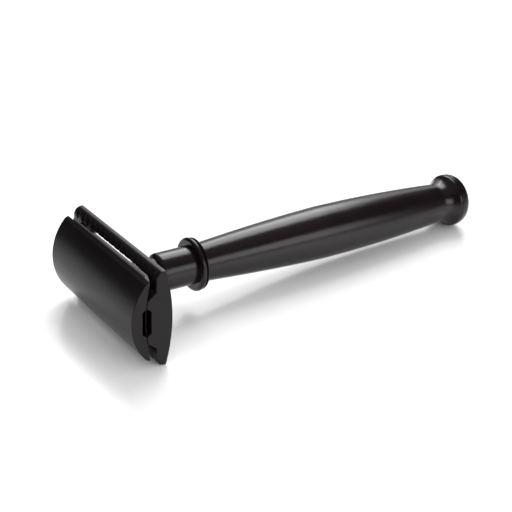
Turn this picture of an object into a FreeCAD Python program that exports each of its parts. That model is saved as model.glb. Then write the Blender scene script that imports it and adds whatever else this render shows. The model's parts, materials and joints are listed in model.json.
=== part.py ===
import FreeCAD, Part
import math
import os

# A three-piece double-edge safety razor, lying on a flat surface as it is put down after use.
# It is designed along its handle: X runs from the head to the knob, Y along the blade's edges, Z across
# the head. The last step tilts the whole razor so that it rests on one guard bar and on the knob's rim.
# All sizes are in millimetres.

V = FreeCAD.Vector
ALONG = V(1, 0, 0)

# ---- blade: the standard double-edge size, bent over the plate's hump ----
BLADE_LENGTH = 43.0
BLADE_WIDTH = 22.0            # across the two edges, measured along the bend
BLADE_THICK = 0.1
BLADE_TAB_WIDTH = 13.0        # the narrower tab at each end
BLADE_TAB_LENGTH = 2.6
BLADE_SLOT_WIDTH = 3.1
BLADE_SLOT_LENGTH = 34.0
BLADE_BEND_R = 48.0
BLADE_X = -12.1               # middle of the blade on the razor's axis
BLADE_PLAY = 0.05             # air on each face of the blade

# ---- head ----
HEAD_LENGTH = 43.5
CAP_WIDTH = 20.9              # across the lower corners of its two rims
CAP_BEVEL = 0.5               # how far the dome's edge stands inside those corners
CAP_CROWN = 3.8               # how far the cap's outside bulges
CAP_RIM = 1.1                 # thickness of the cap at its two long rims
CAP_POCKET_X = -13.05         # floor of the shallow channel in the cap's underside
POCKET_HALF = 2.9             # half width of that channel's floor, and of the plate's
LAND_IN = 3.7                 # the blade is clamped from here ...
LAND_OUT = 5.6                # ... to here, on both sides of the axis

PLATE_LENGTH = 43.8
PLATE_WIDTH = 25.0
PLATE_POCKET_X = -10.75       # floor of the channel in the plate's top
PLATE_BELLY_X = -5.1          # underside of the plate on the axis
PLATE_BELLY = 1.7             # how far the underside bulges
CHANNEL_X = -9.4              # floor of the lather channels beside the guard bars
CHANNEL_IN = 7.4              # foot of the hump's slope
GUARD_NOSE_R = 2.2
GUARD_LIP = 0.35              # flat on the guard's outer edge
SLOT_LENGTH = 37.0            # lather slots through the plate
SLOT_IN = 5.9
SLOT_OUT = 10.3
FLUTE_COUNT = 15
FLUTE_PITCH = 2.8
FLUTE_R = 1.3
FLUTE_DEPTH = 0.3
FLUTE_LEAN = 24.0             # degrees round the nose where a flute is deepest
BOSS_R = 4.2

EDGE_ROUND = 0.16             # softening of the head's outer edges

# ---- stud and posts ----
STUD_R = 2.5                  # M5
THREAD_PITCH = 0.8
STUD_REACH = 7.0              # stud inside the handle when tight
STUD_SEAT = 1.7               # stud pressed into the cap
STUD_HOLE_PLAY = 0.25         # round the stud in the plate
POST_R = 1.4
POST_SPACING = 25.0
POST_REACH = 4.4              # below the cap's channel
POST_SEAT = 1.1
POST_PLAY = 0.15

# ---- handle ----
SEAT_X = 1.9                  # where the plate's boss meets the neck
SEAT_GAP = 0.05
NECK_R = 5.1
NECK_ROUND = 1.5              # rounding of the neck's front end
COLLAR_X = 12.97              # middle of the collar's bead
COLLAR_R = 7.08
COLLAR_BEAD = 0.82            # half the bead's thickness
COLLAR_LIP_R = 6.85           # thin second bead behind it
COLLAR_LIP = 0.4
COLLAR_GROOVE = 0.16
COLLAR_GROOVE_DEPTH = 0.8
SPIGOT_R = 4.2                # neck's spigot through the collar into the grip
SPIGOT_REACH = 6.0
GRIP_FRONT_R = 5.0
GRIP_FRONT_SLOPE = 5.0        # degrees that the grip opens by behind the collar
BELLY_REACH = 39.45           # from the collar to where the grip is thickest
BELLY_R = 7.23
BELLY_CREST_ARC = 60.0        # radius of the short arc in front of the thickest point
WAIST_R = 5.62
FLARE_R = 5.5                 # concave flare from the waist to the crest
CREST_ROUND = 1.3             # rounding of the flare's crest, which the seam cuts
GRIP_BORE_R = 4.0
HANDLE_LENGTH = 97.0          # from the plate's boss to the seam between grip and end cap
SEAM_GAP = 0.12
SEAM_CHAMFER = 0.12
KNOB_R = 7.5
KNOB_ROUND = 3.0
KNOB_BAND = 0.65              # straight part of the end cap's side
CORE_R = 2.0
CORE_SEAT = 8.0               # rod screwed into neck and end cap
CAP_SPIGOT_R = 4.2
CAP_SPIGOT_REACH = 6.5
INSERT_R = 3.4
INSERT_LENGTH = 9.0
INSERT_SET_BACK = 0.6
THREAD_PLAY = 0.08            # running clearance between stud and insert
WEB = 2.0                     # solid neck between the insert's bore and the rod's
FIT_PLAY = 0.02               # close fits inside the handle


# ---------------------------------------------------------------- drawing helpers
def at(x, z):
    return V(x, 0, z)


def line(a, b):
    return Part.makeLine(at(*a), at(*b))


def arc(a, middle, b):
    return Part.Arc(at(*a), at(*middle), at(*b)).toShape()


def outline(edges):
    return Part.Face(Part.Wire(Part.__sortEdges__(edges)))


def bar(edges, length):
    """A section in the XZ plane, drawn out along Y with its middle on the razor's axis."""
    face = outline(edges)
    face.translate(V(0, -length / 2, 0))
    return face.extrude(V(0, length, 0))


def turned(edges):
    """A section above the X axis, turned into a round solid."""
    return outline(edges).revolve(V(0, 0, 0), ALONG, 360)


def softened(shape, radius, chosen):
    """Rounds the edges that chosen(middle point, edge) picks."""
    edges = [edge for edge in shape.Edges
             if chosen(edge.valueAt((edge.FirstParameter + edge.LastParameter) / 2), edge)]
    return shape.makeFillet(radius, edges)


def rod(radius, x_from, x_to, y=0.0):
    return Part.makeCylinder(radius, x_to - x_from, V(x_from, y, 0), ALONG)


def mirrored(edges):
    """The edges and their mirror images across the plane Z = 0."""
    return edges + [edge.mirror(V(0, 0, 0), V(0, 0, 1)) for edge in edges]


# ---------------------------------------------------------------- head
def bend_x(z, offset):
    """X of the blade's bend at height z, moved by offset towards the handle."""
    radius = BLADE_BEND_R - offset
    return BLADE_X + BLADE_BEND_R - math.sqrt(radius ** 2 - z ** 2)


def bend_arc(z_from, z_to, offset):
    z_mid = (z_from + z_to) / 2
    ends = [(bend_x(z, offset), z) for z in (z_from, z_mid, z_to)]
    return arc(*ends)


UNDER_CAP = -(BLADE_THICK / 2 + BLADE_PLAY)
OVER_PLATE = BLADE_THICK / 2 + BLADE_PLAY
CAP_INNER_X = bend_x(CAP_WIDTH / 2, UNDER_CAP)
CAP_RIM_X = CAP_INNER_X - CAP_RIM
CAP_TOP_X = CAP_RIM_X - CAP_CROWN
STUD_TIP_X = SEAT_X + STUD_REACH


def top_cap():
    corner = CAP_WIDTH / 2
    half = corner - CAP_BEVEL
    crown_r = (half ** 2 + CAP_CROWN ** 2) / (2 * CAP_CROWN)
    z_mid = half / 2
    x_mid = CAP_TOP_X + crown_r - math.sqrt(crown_r ** 2 - z_mid ** 2)
    side = [
        arc((CAP_TOP_X, 0), (x_mid, z_mid), (CAP_RIM_X, half)),
        line((CAP_RIM_X, half), (CAP_INNER_X, corner)),
        bend_arc(corner, LAND_IN, UNDER_CAP),
        line((bend_x(LAND_IN, UNDER_CAP), LAND_IN), (CAP_POCKET_X, POCKET_HALF)),
        line((CAP_POCKET_X, POCKET_HALF), (CAP_POCKET_X, 0)),
    ]
    cap = bar(mirrored(side), HEAD_LENGTH)
    end = HEAD_LENGTH / 2
    dome_x = CAP_RIM_X + 0.01
    cap = softened(cap, EDGE_ROUND, lambda point, edge: point.x < dome_x and (
        abs(abs(point.y) - end) < 0.01 or abs(abs(point.z) - half) < 0.01))
    cap = cap.cut(rod(STUD_R, CAP_POCKET_X - STUD_SEAT, CAP_POCKET_X + 1))
    for y in (-POST_SPACING / 2, POST_SPACING / 2):
        cap = cap.cut(rod(POST_R, CAP_POCKET_X - POST_SEAT, CAP_POCKET_X + 1, y))
    return cap


def cap_stud():
    start = CAP_POCKET_X - STUD_SEAT
    stud = rod(STUD_R, start, STUD_TIP_X)
    tip = [edge for edge in stud.Edges if abs(edge.BoundBox.XMin - STUD_TIP_X) < 0.01
           and edge.BoundBox.XLength < 0.01]
    return stud.makeChamfer(THREAD_PITCH / 2, tip)


def blade_posts():
    start = CAP_POCKET_X - POST_SEAT
    tip_x = CAP_POCKET_X + POST_REACH
    posts = []
    for y in (-POST_SPACING / 2, POST_SPACING / 2):
        post = rod(POST_R, start, tip_x - POST_R / 2, y)
        posts.append(post.fuse(Part.makeCone(POST_R, POST_R / 2, POST_R / 2,
                                             V(tip_x - POST_R / 2, y, 0), ALONG)).removeSplitter())
    return Part.makeCompound(posts)


def razor_blade():
    arc_angle = BLADE_WIDTH / BLADE_BEND_R / 2
    centre_x = BLADE_X + BLADE_BEND_R

    def point(radius, angle):
        return (centre_x - radius * math.cos(angle), radius * math.sin(angle))

    outer, inner = BLADE_BEND_R + BLADE_THICK / 2, BLADE_BEND_R - BLADE_THICK / 2
    edge_out, edge_in = point(outer, arc_angle), point(inner, arc_angle)
    low = (edge_out[0], -edge_out[1])
    low_in = (edge_in[0], -edge_in[1])
    section = [
        arc(edge_out, (centre_x - outer, 0), low),
        line(low, low_in),
        arc(low_in, (centre_x - inner, 0), edge_in),
        line(edge_in, edge_out),
    ]
    blade = bar(section, BLADE_LENGTH)
    tab_depth = (BLADE_WIDTH - BLADE_TAB_WIDTH) / 2 + 1
    for end in (-1, 1):
        for side in (-1, 1):
            y = end * (BLADE_LENGTH / 2 - BLADE_TAB_LENGTH / 2)
            z = side * (BLADE_TAB_WIDTH / 2 + tab_depth / 2)
            corner = Part.makeBox(6, BLADE_TAB_LENGTH + 1, tab_depth)
            corner.translate(V(BLADE_X - 2, y - BLADE_TAB_LENGTH / 2 - (1 if end < 0 else 0),
                               z - tab_depth / 2))
            blade = blade.cut(corner)
    slot = stadium(BLADE_X - 1, BLADE_X + 1, BLADE_SLOT_LENGTH, BLADE_SLOT_WIDTH, 0)
    return blade.cut(slot.fuse(rod(STUD_R + STUD_HOLE_PLAY, BLADE_X - 1, BLADE_X + 1)))


def stadium(x_from, x_to, length, width, z):
    """A through-slot along Y with round ends, centred on height z."""
    radius = width / 2
    straight = length - width
    body = Part.makeBox(x_to - x_from, straight, width, V(x_from, -straight / 2, z - radius))
    for y in (-straight / 2, straight / 2):
        body = body.fuse(Part.makeCylinder(radius, x_to - x_from, V(x_from, y, z), ALONG))
    return body


NOSE_Z = PLATE_WIDTH / 2 - GUARD_NOSE_R


def guard_nose_centre():
    half = PLATE_WIDTH / 2
    return CHANNEL_X + GUARD_NOSE_R, half - GUARD_NOSE_R


def base_plate_section():
    half = PLATE_WIDTH / 2
    nose_x, nose_z = guard_nose_centre()
    turn = GUARD_NOSE_R * math.sqrt(0.5)
    lip_x = nose_x + GUARD_LIP
    belly_drop = PLATE_BELLY_X - lip_x
    belly_r = (half ** 2 + belly_drop ** 2) / (2 * belly_drop)
    belly_mid = PLATE_BELLY_X - belly_r + math.sqrt(belly_r ** 2 - (half / 2) ** 2)
    land_in = (bend_x(LAND_IN, OVER_PLATE), LAND_IN)
    land_out = (bend_x(LAND_OUT, OVER_PLATE), LAND_OUT)
    return mirrored([
        line((PLATE_POCKET_X, 0), (PLATE_POCKET_X, POCKET_HALF)),
        line((PLATE_POCKET_X, POCKET_HALF), land_in),
        bend_arc(LAND_IN, LAND_OUT, OVER_PLATE),
        line(land_out, (CHANNEL_X, CHANNEL_IN)),
        line((CHANNEL_X, CHANNEL_IN), (CHANNEL_X, nose_z)),
        arc((CHANNEL_X, nose_z), (nose_x - turn, nose_z + turn), (nose_x, half)),
        line((nose_x, half), (lip_x, half)),
        arc((lip_x, half), (belly_mid, half / 2), (PLATE_BELLY_X, 0)),
    ])


def guard_flute(y, side):
    """A round-bottomed flute across one guard bar's nose."""
    nose_x, nose_z = guard_nose_centre()
    lean = math.radians(FLUTE_LEAN)
    out = V(-math.cos(lean), 0, math.sin(lean))
    run = V(math.sin(lean), 0, math.cos(lean))
    centre = V(nose_x, y, nose_z) + out * (GUARD_NOSE_R - FLUTE_DEPTH + FLUTE_R)
    reach = 2 * GUARD_NOSE_R
    flute = Part.makeCylinder(FLUTE_R, 2 * reach, centre - run * reach, run)
    return flute if side > 0 else flute.mirror(V(0, 0, 0), V(0, 0, 1))


def base_plate():
    plate = bar(base_plate_section(), PLATE_LENGTH)
    end = PLATE_LENGTH / 2
    lip_x = guard_nose_centre()[0] + GUARD_LIP
    plate = softened(plate, EDGE_ROUND, lambda point, edge: (
        abs(abs(point.y) - end) < 0.01 and (point.x > lip_x - 0.01 or abs(point.z) > NOSE_Z)))
    plate = plate.fuse(rod(BOSS_R, PLATE_POCKET_X + 1, SEAT_X - SEAT_GAP)).removeSplitter()
    cutters = [rod(STUD_R + STUD_HOLE_PLAY, BLADE_X, SEAT_X + 1)]
    for y in (-POST_SPACING / 2, POST_SPACING / 2):
        cutters.append(rod(POST_R + POST_PLAY, BLADE_X, CAP_POCKET_X + POST_REACH + POST_PLAY, y))
    for side in (-1, 1):
        middle = side * (SLOT_IN + SLOT_OUT) / 2
        cutters.append(stadium(BLADE_X, PLATE_BELLY_X + 1, SLOT_LENGTH, SLOT_OUT - SLOT_IN, middle))
        for i in range(FLUTE_COUNT):
            cutters.append(guard_flute((i - (FLUTE_COUNT - 1) / 2) * FLUTE_PITCH, side))
    return plate.cut(cutters)


# ---------------------------------------------------------------- handle
COLLAR_FRONT_X = COLLAR_X - COLLAR_BEAD
COLLAR_BACK_X = COLLAR_X + COLLAR_BEAD
GRIP_X = COLLAR_BACK_X + COLLAR_GROOVE + COLLAR_LIP
BELLY_X = GRIP_X + BELLY_REACH
SEAM_X = SEAT_X + HANDLE_LENGTH
CREST_DROP = WAIST_R + FLARE_R - KNOB_R + CREST_ROUND
FLARE_LENGTH = math.sqrt((FLARE_R + CREST_ROUND) ** 2 - CREST_DROP ** 2)
WAIST_X = SEAM_X - FLARE_LENGTH
SPIGOT_END_X = GRIP_X + SPIGOT_REACH
INSERT_X = SEAT_X + INSERT_SET_BACK
ROD_SEAT_X = INSERT_X + INSERT_LENGTH + WEB
SPIGOT_CAP_X = SEAM_X - CAP_SPIGOT_REACH


def neck_tube():
    front_r = NECK_R - NECK_ROUND
    turn = NECK_ROUND * math.sqrt(0.5)
    edges = [
        line((SEAT_X, 0), (SEAT_X, front_r)),
        arc((SEAT_X, front_r), (SEAT_X + NECK_ROUND - turn, front_r + turn),
            (SEAT_X + NECK_ROUND, NECK_R)),
        line((SEAT_X + NECK_ROUND, NECK_R), (COLLAR_FRONT_X, NECK_R)),
        line((COLLAR_FRONT_X, NECK_R), (COLLAR_FRONT_X, SPIGOT_R)),
        line((COLLAR_FRONT_X, SPIGOT_R), (SPIGOT_END_X, SPIGOT_R)),
        line((SPIGOT_END_X, SPIGOT_R), (SPIGOT_END_X, 0)),
        line((SPIGOT_END_X, 0), (SEAT_X, 0)),
    ]
    neck = turned(edges)
    mouth = rod(STUD_R + STUD_HOLE_PLAY, SEAT_X - 1, INSERT_X + 1)
    neck = neck.cut([mouth, rod(INSERT_R, INSERT_X, INSERT_X + INSERT_LENGTH)])
    return neck.cut(rod(CORE_R, ROD_SEAT_X, SPIGOT_END_X + 1))


def thread_insert():
    end = INSERT_X + INSERT_LENGTH
    return rod(INSERT_R, INSERT_X, end).cut(rod(STUD_R + THREAD_PLAY, INSERT_X - 1, end + 1))


def collar_ring():
    groove_r = COLLAR_R - COLLAR_GROOVE_DEPTH
    bore_r = SPIGOT_R + FIT_PLAY
    crown = COLLAR_BEAD
    lip_x = COLLAR_BACK_X + COLLAR_GROOVE
    edges = [
        line((COLLAR_FRONT_X, bore_r), (COLLAR_FRONT_X, COLLAR_R - crown)),
        arc((COLLAR_FRONT_X, COLLAR_R - crown), (COLLAR_X, COLLAR_R), (COLLAR_BACK_X, COLLAR_R - crown)),
        line((COLLAR_BACK_X, COLLAR_R - crown), (COLLAR_BACK_X, groove_r - COLLAR_GROOVE)),
        line((COLLAR_BACK_X, groove_r - COLLAR_GROOVE), (lip_x, groove_r - COLLAR_GROOVE)),
        line((lip_x, groove_r - COLLAR_GROOVE), (lip_x, COLLAR_LIP_R - COLLAR_LIP / 2)),
        arc((lip_x, COLLAR_LIP_R - COLLAR_LIP / 2), (lip_x + COLLAR_LIP / 2, COLLAR_LIP_R),
            (GRIP_X, COLLAR_LIP_R - COLLAR_LIP / 2)),
        line((GRIP_X, COLLAR_LIP_R - COLLAR_LIP / 2), (GRIP_X, bore_r)),
        line((GRIP_X, bore_r), (COLLAR_FRONT_X, bore_r)),
    ]
    return turned(edges)


def from_centre(centre, radius, towards):
    span = math.dist(centre, towards)
    return tuple(c + radius * (t - c) / span for c, t in zip(centre, towards))


def arc_about(centre, radius, a, b):
    """The arc from a to b about a centre, taken the short way."""
    middle = from_centre(centre, radius, ((a[0] + b[0]) / 2, (a[1] + b[1]) / 2))
    return arc(a, middle, b)


def grip_curve():
    """Tangent arcs: a long rise, a short crest, a long fall from the belly, and the waist's flare."""
    start = (GRIP_X, GRIP_FRONT_R)
    belly = (BELLY_X, BELLY_R)
    crest = (BELLY_X, BELLY_R - BELLY_CREST_ARC)
    flare = (WAIST_X, WAIST_R + FLARE_R)

    slope = math.radians(GRIP_FRONT_SLOPE)
    dx, dz = start[0] - crest[0], start[1] - crest[1]
    lean = dx * math.sin(slope) - dz * math.cos(slope)
    rise_r = (BELLY_CREST_ARC ** 2 - dx ** 2 - dz ** 2) / (2 * (lean + BELLY_CREST_ARC))
    rise_centre = (start[0] + rise_r * math.sin(slope), start[1] - rise_r * math.cos(slope))
    top_of_rise = from_centre(rise_centre, rise_r, crest)

    drop = BELLY_R - WAIST_R
    fall_r = ((WAIST_X - BELLY_X) ** 2 + (FLARE_R - drop) ** 2 - FLARE_R ** 2) / (2 * drop)
    fall_centre = (BELLY_X, BELLY_R - fall_r)
    foot = from_centre(fall_centre, fall_r, flare)
    round_centre = (SEAM_X, KNOB_R - CREST_ROUND)
    top_of_flare = from_centre(flare, FLARE_R, round_centre)
    end_x = SEAM_X - SEAM_GAP / 2 - SEAM_CHAMFER
    return [
        arc_about(rise_centre, rise_r, start, top_of_rise),
        arc_about(crest, BELLY_CREST_ARC, top_of_rise, belly),
        arc_about(fall_centre, fall_r, belly, foot),
        arc_about(flare, FLARE_R, foot, top_of_flare),
        arc_about(round_centre, CREST_ROUND, top_of_flare, (end_x, crest_radius(end_x))),
    ]


def crest_radius(x):
    return KNOB_R - CREST_ROUND + math.sqrt(CREST_ROUND ** 2 - (x - SEAM_X) ** 2)


def grip_body():
    end_x = SEAM_X - SEAM_GAP / 2
    edge_x = end_x - SEAM_CHAMFER
    edge_r = crest_radius(edge_x)
    edges = grip_curve() + [
        line((edge_x, edge_r), (end_x, edge_r - SEAM_CHAMFER)),
        line((end_x, edge_r - SEAM_CHAMFER), (end_x, 0)),
        line((end_x, 0), (GRIP_X, 0)),
        line((GRIP_X, 0), (GRIP_X, GRIP_FRONT_R)),
    ]
    grip = turned(edges)
    return grip.cut([
        rod(SPIGOT_R + FIT_PLAY, GRIP_X - 1, SPIGOT_END_X),
        rod(GRIP_BORE_R, GRIP_X, SEAM_X + 1),
        rod(CAP_SPIGOT_R + FIT_PLAY, SPIGOT_CAP_X, SEAM_X + 1),
    ])


def core_rod():
    return rod(CORE_R, ROD_SEAT_X, SPIGOT_CAP_X + CORE_SEAT)


def knob_shape():
    """Radius of the rounding's centre, X of that centre, and X of the knob's flat end."""
    centre_x = SEAM_X + SEAM_GAP / 2 + SEAM_CHAMFER + KNOB_BAND
    return KNOB_R - KNOB_ROUND, centre_x, centre_x + KNOB_ROUND


def end_cap():
    start = SEAM_X + SEAM_GAP / 2
    centre_r, centre_x, face_x = knob_shape()
    turn = KNOB_ROUND * math.sqrt(0.5)
    edges = [
        line((start, 0), (start, KNOB_R - SEAM_CHAMFER)),
        line((start, KNOB_R - SEAM_CHAMFER), (start + SEAM_CHAMFER, KNOB_R)),
        line((start + SEAM_CHAMFER, KNOB_R), (centre_x, KNOB_R)),
        arc((centre_x, KNOB_R), (centre_x + turn, centre_r + turn), (face_x, centre_r)),
        line((face_x, centre_r), (face_x, 0)),
        line((face_x, 0), (start, 0)),
    ]
    cap = turned(edges).fuse(rod(CAP_SPIGOT_R, SPIGOT_CAP_X, start + 1)).removeSplitter()
    return cap.cut(rod(CORE_R, SPIGOT_CAP_X - 1, SPIGOT_CAP_X + CORE_SEAT))


# ---------------------------------------------------------------- lying down
def lying():
    """Tilt in degrees, and the shift, that lay the razor on its guard lip and on its knob's rim."""
    lip_x = guard_nose_centre()[0] + GUARD_LIP
    lip_z = -PLATE_WIDTH / 2
    rim_r, rim_x = knob_shape()[:2]
    span = math.hypot(rim_x - lip_x, -rim_r - lip_z)
    tilt = math.atan2(-rim_r - lip_z, rim_x - lip_x) - math.asin(KNOB_ROUND / span)
    floor = lip_z * math.cos(tilt) - lip_x * math.sin(tilt)
    return math.degrees(tilt), floor


SUB_PARTS = [
    top_cap, cap_stud, blade_posts, razor_blade, base_plate,
    neck_tube, thread_insert, collar_ring, grip_body, core_rod, end_cap,
]


def main():
    os.makedirs("parts", exist_ok=True)
    tilt, floor = lying()
    solids = {}
    for make in SUB_PARTS:
        shape = make()
        shape.rotate(V(0, 0, 0), V(0, 1, 0), tilt)
        solids[make.__name__] = shape
    box = Part.makeCompound(list(solids.values())).optimalBoundingBox(False, False)
    shift = V(-(box.XMin + box.XMax) / 2, 0, -floor)
    for name, shape in solids.items():
        shape.translate(shift)
        shape.exportStep("parts/" + name + ".step")
        print(name, "solids", len(shape.Solids), "valid", shape.isValid(), "mm3", round(shape.Volume, 1))
    print("face", round(knob_shape()[2], 4))
    print("tilt", round(tilt, 4), "shift", round(shift.x, 4), round(shift.z, 4))
    print("box", round(box.XLength, 3), round(box.YLength, 3), round(box.ZLength, 3))


main()
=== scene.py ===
import json
import math

import bmesh
import bpy
from mathutils import Matrix, Vector


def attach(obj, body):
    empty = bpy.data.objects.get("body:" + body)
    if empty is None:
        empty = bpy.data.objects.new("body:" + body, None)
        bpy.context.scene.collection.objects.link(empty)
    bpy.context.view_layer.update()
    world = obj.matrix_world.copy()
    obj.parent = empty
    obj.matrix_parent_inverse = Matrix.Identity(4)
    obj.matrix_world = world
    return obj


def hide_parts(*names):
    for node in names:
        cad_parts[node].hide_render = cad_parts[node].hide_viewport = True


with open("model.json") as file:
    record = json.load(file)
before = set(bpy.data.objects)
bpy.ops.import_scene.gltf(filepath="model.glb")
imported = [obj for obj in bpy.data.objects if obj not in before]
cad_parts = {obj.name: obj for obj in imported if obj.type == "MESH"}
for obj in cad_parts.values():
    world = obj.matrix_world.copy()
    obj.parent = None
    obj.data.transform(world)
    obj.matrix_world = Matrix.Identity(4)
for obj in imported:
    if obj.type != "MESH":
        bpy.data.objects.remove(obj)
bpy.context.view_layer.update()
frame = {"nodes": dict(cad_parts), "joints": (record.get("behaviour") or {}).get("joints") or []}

MM = 0.001
scene = bpy.context.scene


# ---------------------------------------------------------------- the razor's own axes
def razor_axes():
    """A matrix from the razor's own frame to the row's: X from head to knob, zero where the plate's boss
    meets the neck, Y along the blade's edges."""
    unscrew = next(j for j in frame["joints"] if j["name"] == "head_unscrew")
    along = -Vector(unscrew["axis"]).normalized()
    across = Vector((0, 1, 0))
    turn = Matrix((along, across, along.cross(across))).transposed().to_4x4()
    return Matrix.Translation(Vector(unscrew["pos_m"])) @ turn


RAZOR = razor_axes()
TO_RAZOR = RAZOR.inverted()


def span(node):
    """Where a node starts and ends along the razor's axis, and its largest radius, in metres."""
    points = [TO_RAZOR @ v.co for v in frame["nodes"][node].data.vertices]
    radius = max(math.hypot(p.y, p.z) for p in points)
    return min(p.x for p in points), max(p.x for p in points), radius


# ---------------------------------------------------------------- materials
class Shader:
    """A node material with a Principled shader, and short ways to add to it."""

    def __init__(self, name, **sockets):
        self.material = bpy.data.materials.new(name)
        self.material.use_nodes = True
        self.tree = self.material.node_tree
        self.bsdf = self.tree.nodes["Principled BSDF"]
        for socket, value in sockets.items():
            self.bsdf.inputs[socket.replace("_", " ")].default_value = value

    def node(self, kind, **values):
        made = self.tree.nodes.new("ShaderNode" + kind)
        for key, value in values.items():
            if key in made.inputs:
                made.inputs[key].default_value = value
            else:
                setattr(made, key, value)
        return made

    def link(self, source, output, target, socket):
        self.tree.links.new(source.outputs[output], target.inputs[socket])

    def place(self, stretch=(1, 1, 1)):
        """The razor's own coordinates, in metres, stretched along its axes."""
        spot = self.node("TexCoord")
        turned = self.node("Mapping")
        turned.inputs["Location"].default_value = TO_RAZOR.translation
        turned.inputs["Rotation"].default_value = TO_RAZOR.to_euler()
        self.link(spot, "Object", turned, "Vector")
        scaled = self.node("Mapping")
        scaled.inputs["Scale"].default_value = stretch
        self.link(turned, "Vector", scaled, "Vector")
        return scaled

    def noise(self, scale, detail=4.0, stretch=(1, 1, 1)):
        made = self.node("TexNoise", Scale=scale, Detail=detail)
        self.link(self.place(stretch), "Vector", made, "Vector")
        return made

    def ramp(self, source, output, start, end, low, high):
        """Runs from low to high as the source's value goes from start to end."""
        made = self.node("MapRange")
        for socket, value in zip(("From Min", "From Max", "To Min", "To Max"), (start, end, low, high)):
            made.inputs[socket].default_value = value
        self.link(source, output, made, "Value")
        return made

    def blend(self, factor, output, first, second):
        """A colour between two, by a factor. Each is a plain colour or a node with a Color output."""
        made = self.node("MixRGB")
        self.link(factor, output, made, "Fac")
        for socket, value in (("Color1", first), ("Color2", second)):
            if isinstance(value, tuple):
                made.inputs[socket].default_value = (*value, 1)
            else:
                self.link(value, "Color", made, socket)
        return made

    def bump(self, source, output, strength, distance, under=None):
        made = self.node("Bump", Strength=strength, Distance=distance)
        self.link(source, output, made, "Height")
        if under:
            self.link(under, "Normal", made, "Normal")
        self.link(made, "Normal", self.bsdf, "Normal")
        return made


def shade(colour, factor):
    return tuple(c * factor for c in colour)


def black_metal(name, tone, rough, gloss, lines):
    """Satin black coating: turning lines or grinding lines below it, a fine grain, and duller patches."""
    shader = Shader(name, Metallic=0.0, IOR=gloss)
    patches = shader.noise(70.0, 3.0)
    streaks = shader.noise(2400.0, 3.0, lines)
    grain = shader.noise(3000.0, 5.0)
    dull = shader.ramp(patches, "Fac", 0.3, 0.7, rough - 0.025, rough + 0.025)
    shader.link(dull, "Result", shader.bsdf, "Roughness")
    base = shader.blend(grain, "Fac", shade(tone, 0.5), shade(tone, 1.6))
    warmer = shader.blend(patches, "Fac", base, (tone[0] * 1.4, tone[1], tone[2] * 1.2))
    shader.link(warmer, "Color", shader.bsdf, "Base Color")
    under = shader.bump(streaks, "Fac", 0.12, 0.02 * MM)
    shader.bump(grain, "Fac", 0.5, 0.05 * MM, under)
    return shader.material


def bare_metal(name, colour, rough, lines):
    """Bright metal with fine cutting lines and a few duller smears."""
    shader = Shader(name, Metallic=1.0)
    streaks = shader.noise(2400.0, 4.0, lines)
    smears = shader.noise(160.0, 3.0)
    shader.link(shader.ramp(streaks, "Fac", 0.3, 0.7, rough * 0.8, rough * 1.2), "Result",
                shader.bsdf, "Roughness")
    tint = shader.blend(streaks, "Fac", shade(colour, 0.85), colour)
    tint = shader.blend(smears, "Fac", tint, shade(colour, 0.8))
    shader.link(tint, "Color", shader.bsdf, "Base Color")
    shader.bump(streaks, "Fac", 0.15, 0.01 * MM)
    return shader.material


HONED_GLINT_START = 0.42 * MM       # the honed bevel's width, up from each cutting edge, where a painted highlight lightens the steel
HONED_GLINT_FULL = 0.36 * MM        # where the bevel's painted highlight is fully bright


def blade_metal():
    """Ground steel, dark as rolled, with honed bevels along both cutting edges: smoother there, and
    painted lighter as a highlight.
    """
    shader = Shader("blade_steel", Metallic=1.0)
    spot = shader.node("SeparateXYZ")
    shader.link(shader.place(), "Vector", spot, "Vector")
    away = shader.node("Math", operation="ABSOLUTE")
    shader.link(spot, "Z", away, "Value")
    half = max(abs((TO_RAZOR @ v.co).z) for v in frame["nodes"]["razor_blade"].data.vertices)
    honed_and_glint = shader.ramp(away, "Value", half - HONED_GLINT_START, half - HONED_GLINT_FULL, 0.0, 1.0)
    lines = shader.noise(2600.0, 4.0, (1, 0.04, 1))
    rolled = shader.blend(lines, "Fac", (0.02, 0.02, 0.021), (0.034, 0.034, 0.036))
    # painted highlight: the bevels get a lighter colour in place of the light that the angled honed edge
    # catches; the smoother roughness below is the real honed finish
    colour = shader.blend(honed_and_glint, "Result", rolled, (0.06, 0.06, 0.063))
    shader.link(colour, "Color", shader.bsdf, "Base Color")
    shader.link(shader.ramp(honed_and_glint, "Result", 0.0, 1.0, 0.34, 0.22), "Result", shader.bsdf, "Roughness")
    shader.bump(lines, "Fac", 0.1, 0.01 * MM)
    return shader.material


def floor_white():
    """Glossy white acrylic with the slightest unevenness."""
    shader = Shader("white_acrylic", Metallic=0.0, IOR=1.5)
    wave = shader.noise(6.0, 2.0)
    shader.link(shader.ramp(wave, "Fac", 0.3, 0.7, 0.2, 0.24), "Result", shader.bsdf, "Roughness")
    tone = shader.blend(wave, "Fac", (0.92, 0.92, 0.92), (0.94, 0.94, 0.94))
    shader.link(tone, "Color", shader.bsdf, "Base Color")
    return shader.material


AROUND = (1, 0.03, 0.03)
ALONG_EDGES = (1, 0.05, 1)
HANDLE_BLACK = black_metal("handle_black", (0.0066, 0.005, 0.0054), 0.22, 1.41, AROUND)
HEAD_BLACK = black_metal("head_black", (0.0065, 0.0058, 0.006), 0.3, 1.3, ALONG_EDGES)
TURNED = bare_metal("turned_steel", (0.5, 0.5, 0.51), 0.3, AROUND)
BRASS = bare_metal("turned_brass", (0.72, 0.55, 0.28), 0.3, AROUND)
BLADE = blade_metal()

FINISHES = {
    "top_cap": HEAD_BLACK, "base_plate": HEAD_BLACK, "razor_blade": BLADE, "cap_stud": TURNED,
    "blade_posts": TURNED, "thread_insert": BRASS, "core_rod": TURNED, "neck_tube": HANDLE_BLACK,
    "collar_ring": HANDLE_BLACK, "grip_body": HANDLE_BLACK, "end_cap": HANDLE_BLACK,
}


def dress(node, material):
    for slot in frame["nodes"][node].material_slots:
        slot.material = material


for name, material in FINISHES.items():
    dress(name, material)


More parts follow.
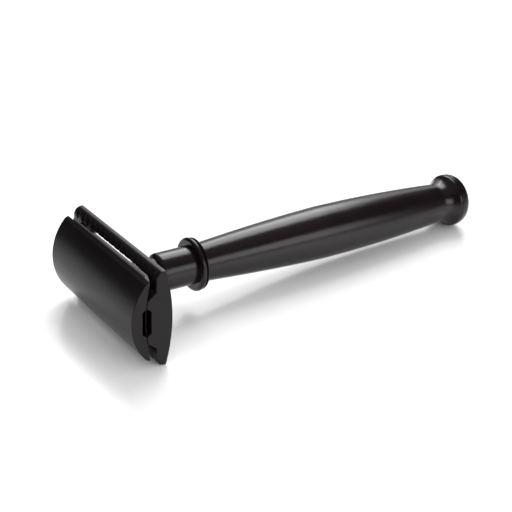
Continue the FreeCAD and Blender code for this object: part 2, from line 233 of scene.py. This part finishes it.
# ---------------------------------------------------------------- pieces with more detail
def new_piece(name, mesh, material):
    piece = bpy.data.objects.new(name, mesh)
    scene.collection.objects.link(piece)
    mesh.materials.append(material)
    mesh.polygons.foreach_set("use_smooth", [True] * len(mesh.polygons))
    return piece


THREAD_PITCH = 0.8 * MM
THREAD_DEPTH = 0.42 * MM
THREAD_FLAT = 0.12            # share of half a pitch that the crest's flat takes
THREAD_FLANK = 0.72           # share that the flank takes
STUD_PLAIN = 1.9 * MM         # without thread, at the cap
STUD_CHAMFER = 0.45 * MM
STUD_SIDES = 48
RINGS_PER_PITCH = 10


def stud_radius(x, angle, start, end, radius):
    """Radius of the stud's surface at x along it, on the thread's helix."""
    phase = (x / THREAD_PITCH - angle / math.tau) % 1.0
    groove = 1.0 - abs(2.0 * phase - 1.0)
    cut = min(1.0, max(0.0, (groove - THREAD_FLAT) / THREAD_FLANK))
    fade = min(1.0, max(0.0, (x - start - STUD_PLAIN) / THREAD_PITCH))
    thread = radius - THREAD_DEPTH * cut * fade
    chamfer = radius - max(0.0, STUD_CHAMFER - (end - x))
    return min(thread, chamfer)


def stud_ring(bm, x, start, end, radius):
    """One round of points at x along the stud."""
    ring = []
    for k in range(STUD_SIDES):
        angle = math.tau * k / STUD_SIDES
        r = stud_radius(x, angle, start, end, radius)
        ring.append(bm.verts.new(RAZOR @ Vector((x, r * math.cos(angle), r * math.sin(angle)))))
    return ring


def skin(bm, grid):
    """Faces between neighbouring rings, and one across each end."""
    for low, high in zip(grid, grid[1:]):
        for k in range(STUD_SIDES):
            n = (k + 1) % STUD_SIDES
            bm.faces.new((low[k], high[k], high[n], low[n]))
    bm.faces.new(grid[0])
    bm.faces.new(list(reversed(grid[-1])))
    bmesh.ops.recalc_face_normals(bm, faces=bm.faces)


def threaded_stud():
    """The cap's stud with a real helical thread, a plain foot and a chamfered tip."""
    start, end, radius = span("cap_stud")
    rings = int((end - start) / (THREAD_PITCH / RINGS_PER_PITCH))
    step = (end - start) / rings
    mesh = bpy.data.meshes.new("threaded_stud")
    bm = bmesh.new()
    skin(bm, [stud_ring(bm, start + i * step, start, end, radius) for i in range(rings + 1)])
    bm.to_mesh(mesh)
    bm.free()
    piece = new_piece("threaded_stud", mesh, TURNED)
    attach(piece, "cap")
    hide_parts("cap_stud")


threaded_stud()


# ---------------------------------------------------------------- floor, lights, camera
FLOOR_HALF = 2.0


def make_floor():
    mesh = bpy.data.meshes.new("floor")
    signs = ((-1, -1), (1, -1), (1, 1), (-1, 1))
    corners = [(x * FLOOR_HALF, y * FLOOR_HALF, 0) for x, y in signs]
    mesh.from_pydata(corners, [], [(0, 1, 2, 3)])
    floor = bpy.data.objects.new("floor", mesh)
    scene.collection.objects.link(floor)
    mesh.materials.append(floor_white())


def softbox(name, place, aim, size, radiance):
    """A soft rectangular light, as bright as given on its face, that the camera doesn't see."""
    data = bpy.data.lights.new(name, "AREA")
    data.shape = "RECTANGLE"
    data.size, data.size_y = size
    data.energy = radiance * math.pi * size[0] * size[1]
    light = bpy.data.objects.new(name, data)
    light.location = place
    light.rotation_euler = (Vector(aim) - Vector(place)).to_track_quat("-Z", "Y").to_euler()
    light.visible_camera = False
    scene.collection.objects.link(light)


def make_world(strength):
    """A room that the camera sees as white. It lights matt surfaces, and reflections leave it out."""
    world = bpy.data.worlds.new("studio")
    scene.world = world
    world.use_nodes = True
    tree = world.node_tree
    background = tree.nodes["Background"]
    background.inputs["Color"].default_value = (1, 1, 1, 1)
    path = tree.nodes.new("ShaderNodeLightPath")
    level = tree.nodes.new("ShaderNodeMapRange")
    level.inputs["To Min"].default_value = strength
    tree.links.new(path.outputs["Is Camera Ray"], level.inputs["Value"])
    tree.links.new(level.outputs["Result"], background.inputs["Strength"])
    world.cycles_visibility.glossy = False


def make_camera(place, azimuth, elevation, roll, lens):
    """Azimuth turns from +Y towards +X, as the direction looked along. Roll lowers the right-hand side."""
    a, e = math.radians(azimuth), math.radians(elevation)
    forward = Vector((math.sin(a) * math.cos(e), math.cos(a) * math.cos(e), -math.sin(e)))
    upright = forward.to_track_quat("-Z", "Y").to_matrix()
    data = bpy.data.cameras.new("camera")
    data.lens = lens
    data.clip_start, data.clip_end = 0.01, 20
    camera = bpy.data.objects.new("camera", data)
    camera.location = place
    camera.rotation_euler = (upright @ Matrix.Rotation(-math.radians(roll), 3, "Z")).to_euler()
    scene.collection.objects.link(camera)
    scene.camera = camera


make_camera((-0.16921, -0.24484, 0.15874), 32.903, 27.292, 0.504, 86.846)
make_floor()
make_world(0.74)
softbox("overhead", (0.37, 0.39, 0.62), (0.37, 0, 0), (0.44, 0.62), 6.4)
softbox("ceiling", (0, 0, 2.4), (0, 0.01, 0), (4.0, 4.0), 0.2)
softbox("front", (0.31, -0.94, 0.30), (0, 0, 0), (0.82, 0.42), 3.3)
softbox("backdrop", (0.97, 1.49, 0.95), (0, 0, 0), (1.5, 1.2), 1.3)
scene.view_settings.view_transform = "Standard"
